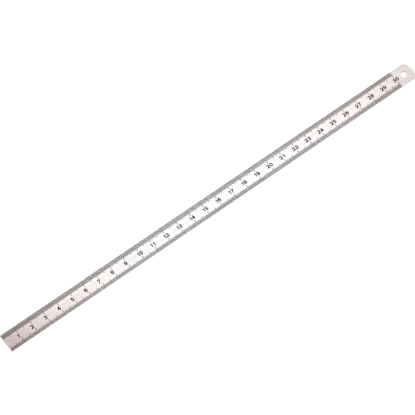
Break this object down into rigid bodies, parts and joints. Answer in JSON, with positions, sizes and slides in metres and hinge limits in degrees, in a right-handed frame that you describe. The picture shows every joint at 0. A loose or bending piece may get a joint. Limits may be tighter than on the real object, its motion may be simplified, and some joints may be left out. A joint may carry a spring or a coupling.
{
  "type": "steel ruler",
  "caption": "Narrow flexible steel ruler with fine half-millimetre scales on both long edges, one row of centimetre numerals between them, and a hanging hole in a rounded end tab.",
  "frame": {"origin": "bottom centre of the bounding box: the middle of the plain underside", "axes": "+X along the ruler from its zero end to its hanging tab, +Y across it towards the upper scale, +Z out of the graduated face"},
  "size_m": [0.313, 0.013, 0.0005],
  "materials": {
    "stainless_steel": "satin, brushed along the length",
    "black_enamel": "baked enamel in the etched marks, semi-gloss"
  },
  "bodies": {
    "root": {"blade": "stainless_steel", "upper_half_millimetre_marks": "black_enamel", "upper_millimetre_marks": "black_enamel", "upper_five_millimetre_marks": "black_enamel", "upper_centimetre_marks": "black_enamel", "lower_half_millimetre_marks": "black_enamel", "lower_millimetre_marks": "black_enamel", "lower_five_millimetre_marks": "black_enamel", "lower_centimetre_marks": "black_enamel", "numeral_01": "black_enamel", "numeral_02": "black_enamel", "numeral_03": "black_enamel", "numeral_04": "black_enamel", "numeral_05": "black_enamel", "numeral_06": "black_enamel", "numeral_07": "black_enamel", "numeral_08": "black_enamel", "numeral_09": "black_enamel", "numeral_10": "black_enamel", "numeral_11": "black_enamel", "numeral_12": "black_enamel", "numeral_13": "black_enamel", "numeral_14": "black_enamel", "numeral_15": "black_enamel", "numeral_16": "black_enamel", "numeral_17": "black_enamel", "numeral_18": "black_enamel", "numeral_19": "black_enamel", "numeral_20": "black_enamel", "numeral_21": "black_enamel", "numeral_22": "black_enamel", "numeral_23": "black_enamel", "numeral_24": "black_enamel", "numeral_25": "black_enamel", "numeral_26": "black_enamel", "numeral_27": "black_enamel", "numeral_28": "black_enamel", "numeral_29": "black_enamel", "numeral_30": "black_enamel"}
  },
  "joints": []
}
